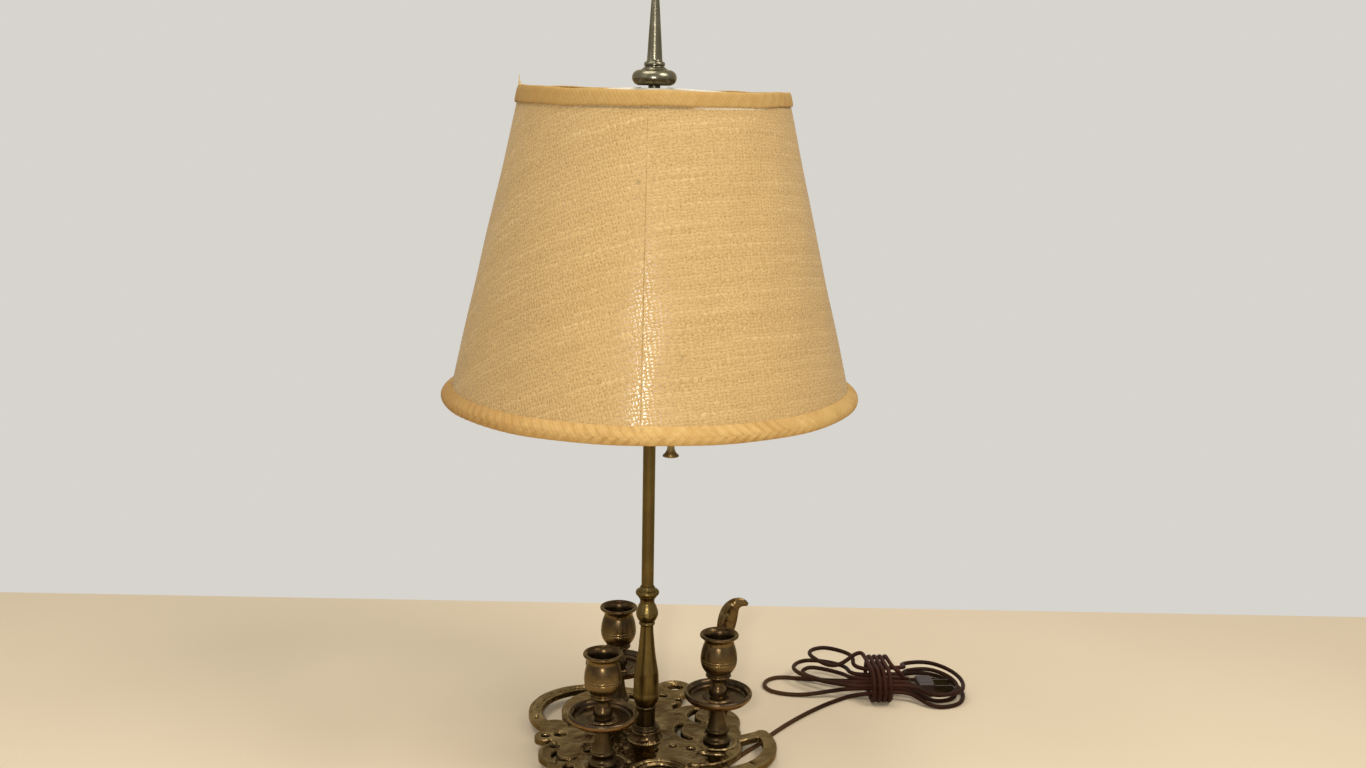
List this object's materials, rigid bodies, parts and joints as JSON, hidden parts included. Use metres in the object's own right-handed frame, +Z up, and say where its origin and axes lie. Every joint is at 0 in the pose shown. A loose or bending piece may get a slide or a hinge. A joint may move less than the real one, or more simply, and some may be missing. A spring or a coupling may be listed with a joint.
{
  "type": "table lamp",
  "caption": "Bouillotte table lamp: pierced scrolled base, candle cups round a turned column, pull-chain lampholder under a harp, tapered burlap shade and spire finial.",
  "frame": {"origin": "on the table, on the column's axis", "axes": "+Z up the column, -Y towards the viewer of the picture, +X to the viewer's right"},
  "size_m": [0.4207, 0.3157, 0.585],
  "materials": {
    "plate": "cast, antiqued, edges polished",
    "column": "turned, antiqued satin",
    "pan": "spun, dark antiqued, rims worn bright",
    "cup": "cast, dark antiqued with golden wear",
    "finial": "turned, grey-olive antiqued satin",
    "holder": "drawn sheet, satin lacquered",
    "zinc": "zinc plated",
    "harp": "plated wire, satin",
    "insulation": "moulded phenolic",
    "fibre": "pressed fibre sleeve",
    "chain": "beaded chain, antiqued",
    "contact": "bare",
    "bulb_cap": "rolled thread, satin",
    "bulb_glass": "frosted inside",
    "burlap": "open plain weave jute",
    "lining": "off-white bonded lining",
    "trim": "gathered jute band",
    "shade_wire": "powder coated wire",
    "cord": "dark brown flexible sheath",
    "plug": "dark brown moulded"
  },
  "bodies": {
    "lamp": {"base_plate": "plate", "base_feet": "plate", "plate_screws": "zinc", "scroll_handle": "plate", "hub_washer": "zinc", "hub_locknut": "zinc", "base_nipple": "zinc", "cord_bushing": "insulation", "pedestal_foot": "column", "pedestal": "column", "baluster": "column", "pole": "column", "cup_studs": "zinc", "saddle_locknut": "zinc", "harp_saddle": "harp", "harp": "harp", "harp_stud": "harp", "screw_shell": "contact", "centre_contact": "contact", "terminal_screws": "contact", "socket_cap": "holder", "socket_shell": "holder", "socket_liner": "fibre", "socket_body": "insulation", "chain_guide": "holder", "bulb_contact": "contact", "bulb_base": "bulb_cap", "bulb_glass": "bulb_glass", "inner_cord": "cord", "free_cord": "cord", "cord_hank": "cord", "cord_wraps": "cord", "plug_body": "plug", "plug_blades": "contact", "candle_stem_right": "column", "drip_pan_right": "pan", "pan_knob_right": "cup", "candle_cup_right": "cup", "candle_stem_rear_left": "column", "drip_pan_rear_left": "pan", "pan_knob_rear_left": "cup", "candle_cup_rear_left": "cup", "candle_stem_front_left": "column", "drip_pan_front_left": "pan", "pan_knob_front_left": "cup", "candle_cup_front_left": "cup"},
    "shade": {"shade_cloth": "burlap", "shade_lining": "lining", "shade_bottom_ring": "shade_wire", "shade_top_ring": "shade_wire", "shade_spider": "shade_wire", "shade_bottom_trim": "trim", "shade_top_trim": "trim"},
    "finial": {"finial_bun": "finial", "finial_spire": "finial"},
    "pull_chain": {"pull_chain": "chain", "chain_bell": "chain"},
    "ferrule_front": {"ferrule_front": "harp"},
    "ferrule_rear": {"ferrule_rear": "harp"}
  },
  "joints": [
    {"name": "shade_turn", "type": "hinge", "parent": "lamp", "child": "shade", "pos_m": [0, 0, 0.4996], "axis": [0, 0, 1], "continuous": true},
    {"name": "finial_turn", "type": "hinge", "parent": "lamp", "child": "finial", "pos_m": [0, 0, 0.4996], "axis": [0, 0, 1], "continuous": true},
    {"name": "chain_pull", "type": "slide", "parent": "lamp", "child": "pull_chain", "axis": [0, 0, -1], "range_m": [0, 0.01], "stiffness_N_per_m": 150},
    {"name": "ferrule_front_slide", "type": "slide", "parent": "lamp", "child": "ferrule_front", "axis": [0, 0, 1], "range_m": [0, 0.008]},
    {"name": "ferrule_rear_slide", "type": "slide", "parent": "lamp", "child": "ferrule_rear", "axis": [0, 0, 1], "range_m": [0, 0.008]}
  ]
}
